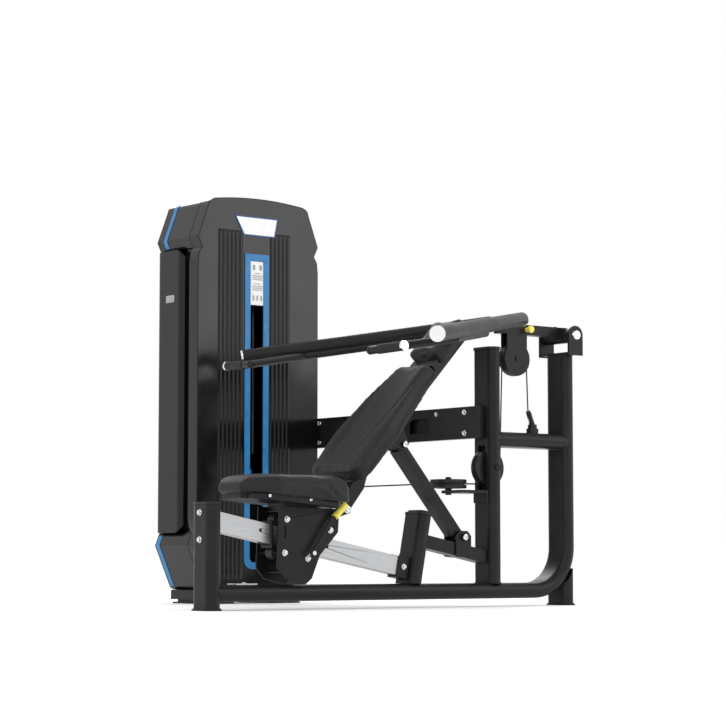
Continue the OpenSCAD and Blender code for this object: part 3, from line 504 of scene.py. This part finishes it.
def inflate(obj, cap, base, out):
    """Cloth simulation: air pressure fills the pad; its underside stays on its board."""
    rest = [v.co.copy() for v in obj.data.vertices]
    held = [i for i, co in enumerate(rest) if (co - base).dot(out) < 0.012]
    group = obj.vertex_groups.new(name="board")
    group.add(held, 1.0, "REPLACE")
    cloth = obj.modifiers.new("cloth", "CLOTH")
    cloth.settings.quality = 4
    cloth.settings.use_pressure = True
    cloth.settings.uniform_pressure_force = 4
    cloth.settings.effector_weights.gravity = 0
    cloth.settings.vertex_group_mass = "board"
    cloth.point_cache.frame_start = 1
    cloth.point_cache.frame_end = 20
    for step in range(1, 21):
        SCENE.frame_set(step)
    mesh = evaluated(obj)
    for vertex, start in zip(mesh.vertices, rest):
        move = vertex.co - start
        if move.length > cap:
            vertex.co = start + move * (cap / move.length)
    obj.modifiers.clear()
    obj.vertex_groups.clear()
    obj.data = mesh
    SCENE.frame_set(1)


def finish_pad(obj, node, body):
    subdivide = obj.modifiers.new("smooth", "SUBSURF")
    subdivide.levels = subdivide.render_levels = 1
    mesh = evaluated(obj)
    obj.modifiers.clear()
    obj.data = mesh
    for poly in mesh.polygons:
        poly.use_smooth = True
    mesh.materials.clear()
    mesh.materials.append(M["leather"])
    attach(obj, body)
    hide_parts(node)


def back_half(u):
    """Half width of the back pad at a distance from its lower end."""
    wide, narrow = 0.164, 0.108
    return wide + (narrow - wide) * smoothstep(0.2, 0.6, u)


def shape_back(obj):
    """Bolsters along both sides that widen downwards, each behind a sewn crease."""
    for vertex in obj.data.vertices:
        place = vertex.co - BACK_FOOT
        u, w = place.dot(BACK_LONG), place.dot(BACK_OUT)
        share = abs(vertex.co.y) / back_half(u)
        front = smoothstep(-0.7 * PAD_T, -0.1 * PAD_T, w)
        rise = smoothstep(0.04, 0.20, u) * (1 - 0.6 * smoothstep(0.48, 0.6, u))
        line = 0.42 + 0.40 * smoothstep(0.08, 0.56, u)
        bolster = 0.011 * rise * smoothstep(line, line + 0.20, share)
        hollow = -0.004 * rise * (1 - smoothstep(0.0, line, share))
        crease = -0.006 * rise * math.exp(-((share - line) / 0.07) ** 2)
        vertex.co += BACK_OUT * front * (bolster + hollow + crease)


def shape_head(obj):
    """A shallow hollow for the head."""
    for vertex in obj.data.vertices:
        place = vertex.co - BACK_FOOT
        u, w = place.dot(BACK_LONG) - 0.742, place.dot(BACK_OUT)
        front = smoothstep(-0.7 * PAD_T, -0.1 * PAD_T, w)
        near = (vertex.co.y / 0.085) ** 2 + (u / 0.1) ** 2
        vertex.co += BACK_OUT * front * (0.004 - 0.007 * math.exp(-near))


def shape_seat(obj):
    """Crowned top that dips towards the nose, and a sewn crease round its sides."""
    low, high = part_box("seat_pad")
    for vertex in obj.data.vertices:
        top = smoothstep(low.z + 0.045, high.z - 0.01, vertex.co.z)
        across = 1 - min(abs(vertex.co.y) / 0.17, 1) ** 2
        nose = smoothstep(0.20, 0.09, vertex.co.x)
        vertex.co.z += top * (0.006 * across - 0.006 * nose)
        seam = math.exp(-((vertex.co.z - (high.z - 0.026)) / 0.0035) ** 2)
        vertex.co.y -= math.copysign(0.0016 * seam, vertex.co.y)


def make_pads():
    pads = (("seat_cushion", "seat_pad", "carriage", 0.003, 0.006, shape_seat,
             Vector((0.3, 0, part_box("seat_pad")[0].z)), Z),
            ("back_cushion", "back_pad", "backrest", 0.003, 0.006, shape_back,
             BACK_FOOT - BACK_OUT * PAD_T, BACK_OUT),
            ("head_cushion", "head_pad", "backrest", 0.003, 0.006, shape_head,
             BACK_FOOT - BACK_OUT * PAD_T, BACK_OUT))
    for name, node, body, inset, cap, shape, base, out in pads:
        obj = remeshed(name, node, inset, base, out)
        inflate(obj, cap, base, out)
        shape(obj)
        finish_pad(obj, node, body)


# ---- tower ----

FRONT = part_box("front_shroud")
FACE_Y = FRONT[0].y                  # plane of the tower's front
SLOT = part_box("blue_trims")


def pleats(name, x0, x1, z0, z1):
    """Fluted panel on the tower's front: upright pleats with rounded crests."""
    pitch, depth, steps = 0.0208, 0.0036, 10
    count = round((x1 - x0) / pitch)
    columns = [i / steps for i in range(count * steps + 1)]
    rows = [(z0, 0.0), (z0 + 0.012, 0.8), (z0 + 0.03, 1.0), (z1 - 0.03, 1.0),
            (z1 - 0.012, 0.8), (z1, 0.0)]
    verts = []
    for z, share in rows:
        for c in columns:
            height = depth * share * abs(math.sin(math.pi * c)) ** 0.7
            verts.append(Vector((x0 + (x1 - x0) * c / count, FACE_Y - 0.0006 - height, z)))
    width = len(columns)
    faces = []
    for r in range(len(rows) - 1):
        faces += [[r * width + i, r * width + i + 1, (r + 1) * width + i + 1, (r + 1) * width + i]
                  for i in range(width - 1)]
    obj = piece(name, verts, faces, "frame", "gloss_shell")
    for poly in obj.data.polygons:
        poly.use_smooth = True


def make_front_details():
    pleats("flutes_left", 0.725, 0.850, 0.10, 1.546)
    pleats("flutes_right", 0.987, 1.091, 0.10, 1.546)
    side = Build()
    badge = [(0.8135, 1.604), (0.8556, 1.533), (1.0055, 1.533), (1.020, 1.604)]
    side.prism(grow(badge, 0.006), Vector((0, FACE_Y - 0.003, 0)), X, Z, -0.003)
    side.make("badge_rim", "frame", "badge_rim", 0.001)
    plate = Build()
    plate.prism(badge, Vector((0, FACE_Y - 0.0045, 0)), X, Z, -0.0015)
    plate.make("badge_plate", "frame", "label_white", 0.0004)
    make_placard()


def grow(points, by):
    """Outline moved outwards from its middle."""
    cx = sum(p[0] for p in points) / len(points)
    cz = sum(p[1] for p in points) / len(points)
    return [(x + math.copysign(by, x - cx), z + math.copysign(by, z - cz)) for x, z in points]


def make_placard():
    """Instruction placard with plain grey bars where its pictures and lines would be."""
    plate = Build()
    plate.prism(rounded(0.0815, 0.183, 0.004, (0.9222, 1.3305)),
                Vector((0, FACE_Y - 0.0008, 0)), X, Z, -0.0016)
    plate.make("placard", "frame", "label_white", 0.0003)
    bars = Build()
    y = FACE_Y - 0.0030
    for x in (0.905, 0.939):
        bars.prism(rounded(0.011, 0.022, 0.004, (x, 1.396)), Vector((0, y, 0)), X, Z, -0.0006)
    for z, w in ((1.372, 0.030), (1.362, 0.054), (1.354, 0.050), (1.346, 0.054),
                 (1.328, 0.032), (1.318, 0.054), (1.310, 0.048), (1.302, 0.052)):
        bars.prism(rounded(w, 0.0026, 0.0012, (0.922, z)), Vector((0, y, 0)), X, Z, -0.0006)
    for x in (0.902, 0.922, 0.942):
        bars.prism(rounded(0.006, 0.022, 0.002, (x, 1.268)), Vector((0, y, 0)), X, Z, -0.0006)
    bars.make("placard_bars", "frame", "label_grey", 0.0)


def make_side_details():
    """Blank label on the tower's near side."""
    low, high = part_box("rear_shroud")
    panel = Build()
    panel.prism(rounded(0.062, 0.030, 0.003, (1.205, 1.262)),
                Vector((low.x - 0.0002, 0, 0)), Y, Z, -0.0012)
    panel.make("side_label", "frame", "label_grey", 0.0003)


# ---- welds, bolts and small parts ----

TUBE_N, TUBE_W = 0.060, 0.120
BASE_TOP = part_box("base_tube")[0].z + 0.084
POST_X = 1.320
REAR_X = 1.710
RAIL_TILT = math.radians(10.9)
RAIL_FOOT = Vector((0, 0, 0.322))
RAIL_DOWN = Vector((math.cos(RAIL_TILT), 0, -math.sin(RAIL_TILT)))
RAIL_UP = Vector((math.sin(RAIL_TILT), 0, math.cos(RAIL_TILT)))
RAIL_W = 0.045


def make_beads():
    fixed = Build()
    bead(fixed, oval_path(Vector((POST_X, 0, 0.0905)), X, Y, TUBE_N, TUBE_W), 0.0032, Z)
    link_z = 0.650
    for x in (POST_X + TUBE_N / 2, REAR_X - TUBE_N / 2):
        bead(fixed, oval_path(Vector((x, 0, link_z)), Z, Y, TUBE_N, TUBE_W - 0.004), 0.003, X)
    for x in (0.0, REAR_X - 0.005):
        bead(fixed, oval_path(Vector((x, 0, 0.0065)), X, Y, TUBE_N, TUBE_W), 0.0026, Z)
    fixed.make("weld_beads", "frame", "black_steel")
    mast = Build()
    sleeve = Vector((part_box("mast")[1].x - 0.062, 0, 1.091))
    bead(mast, oval_path(sleeve, Y, Z, 0.044, 0.045), 0.0028, X)
    mast.make("mast_weld", "press_arm", "black_steel")


def dome(build, centre, out, radius, rise=1.0):
    """Domed screw head with a hexagon socket, on top of a CAD bolt head."""
    side = out.orthogonal().normalized()
    other = out.cross(side)
    count = 24

    def ring(r, h, hexagon=False):
        points = []
        for i in range(count):
            a = 2 * math.pi * i / count
            reach = r / math.cos((a + math.pi / 6) % (math.pi / 3) - math.pi / 6) if hexagon else r
            points.append(centre + side * (reach * math.cos(a)) + other * (reach * math.sin(a))
                          + out * (h * rise))
        return points

    rings = [ring(radius, 0), ring(radius, radius * 0.16), ring(radius * 0.92, radius * 0.30),
             ring(radius * 0.72, radius * 0.42), ring(radius * 0.46, radius * 0.47, True),
             ring(radius * 0.44, radius * 0.08, True)]
    build.rings(rings, False)


def make_bolts():
    front = Build()
    duct_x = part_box("cable_duct")[0].x
    for y in (0.065, 1.012):
        for z in (0.675, 0.757):
            dome(front, Vector((duct_x - 0.0078, y, z)), -X, 0.0078)
    dome(front, Vector((duct_x - 0.0063, 0.239, 0.757)), -X, 0.0062)
    clamp = RAIL_FOOT + RAIL_DOWN * 0.890
    dome(front, Vector((clamp.x, -0.0366, clamp.z)), -Y, 0.0075)
    dome(front, Vector((1.166, -0.047, 0.267)), -Y, 0.013)
    front.make("screw_heads_frame", "frame", "chrome", 0.0)
    back = Build()
    dome(back, Vector((0.868, -0.0475, 0.615)), -Y, 0.0125)
    back.make("pin_cap_backrest", "backrest", "chrome", 0.0)
    rolling = Build()
    offset = 0.036 + 0.024 + 0.0003
    spots = [RAIL_FOOT + RAIL_DOWN * a + RAIL_UP * offset for a in (0.294, 0.494)]
    spots += [RAIL_FOOT + RAIL_DOWN * a - RAIL_UP * offset for a in (0.307, 0.413)]
    for spot in spots:
        dome(rolling, Vector((spot.x, -0.0766, spot.z)), -Y, 0.0085)
        dome(rolling, Vector((spot.x, 0.0766, spot.z)), Y, 0.0085)
    dome(rolling, Vector((0.574, -0.0788, 0.365)), -Y, 0.011, 0.35)
    for x, z in ((0.1694, 0.407), (0.3511, 0.396)):
        dome(rolling, Vector((x, -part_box("seat_plate")[1].y + 0.0002, z)), -Y, 0.0062)
    rolling.make("screw_heads_carriage", "carriage", "chrome", 0.0)


def make_threads():
    """Thread turns on the cable's anchor rod."""
    foot, top = Vector((1.558, 0, 0.714)), Vector((1.535, 0, 0.770))
    axis = (top - foot).normalized()
    side = axis.orthogonal().normalized()
    build = Build()
    turns, steps = 9, 18
    rings = []
    for i in range(turns * steps + 1):
        a = 2 * math.pi * i / steps
        out = side * math.cos(a) + axis.cross(side) * math.sin(a)
        centre = foot + axis * (0.050 * i / (turns * steps)) + out * 0.0098
        rings.append([centre + (out * math.cos(b) + axis * math.sin(b)) * 0.0017
                      for b in (2 * math.pi * k / 6 for k in range(6))])
    build.rings(rings, False)
    build.make("anchor_thread", "frame", "black_plastic")


def make_stack_cord():
    """The weights' cable, built in short rings."""
    low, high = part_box("stack_cable")
    middle = (low + high) / 2
    top, foot = Vector((middle.x, middle.y, high.z)), Vector((middle.x, middle.y, low.z))
    build = Build()
    outline = circle((high.x - low.x) / 2, 16)
    steps = 60
    build.rings([[top.lerp(foot, i / steps) + X * a + Y * b for a, b in outline]
                 for i in range(steps + 1)], False)
    cord = build.make("stack_cord", None, "cable_sheath")
    for poly in cord.data.polygons:
        poly.use_smooth = len(poly.vertices) == 4
    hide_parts("stack_cable")
    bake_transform(cord)


def make_base_bracket():
    """Small bolted plate on the base tube, in front of the carriage."""
    build = Build()
    build.prism(rounded(0.098, 0.060, 0.008, (0.150, -0.006)), Vector((0, 0, 0.0903)), X, Y, 0.005)
    build.make("base_bracket", "frame", "stainless", 0.0008)
    bolt = Build()
    dome(bolt, Vector((0.155, -0.010, 0.0955)), Z, 0.008)
    bolt.make("base_bracket_bolt", "frame", "chrome")


def make_rail_plug():
    """Flat round plug in the rail's near side, behind the carriage."""
    build = Build()
    face = RAIL_FOOT + RAIL_DOWN * 0.713 - Y * (RAIL_W / 2)
    build.prism(circle(0.0125, 32), face, RAIL_DOWN, RAIL_UP, 0.0004)
    build.prism(circle(0.0100, 32), face, RAIL_DOWN, RAIL_UP, 0.0008)
    build.make("rail_plug", "frame", "stainless", 0.0002)


make_camera()
make_lights()
make_floor(floor_paint())
dress_nodes()
make_pads()
make_front_details()
make_side_details()
make_beads()
make_bolts()
make_threads()
make_stack_cord()
make_base_bracket()
make_rail_plug()
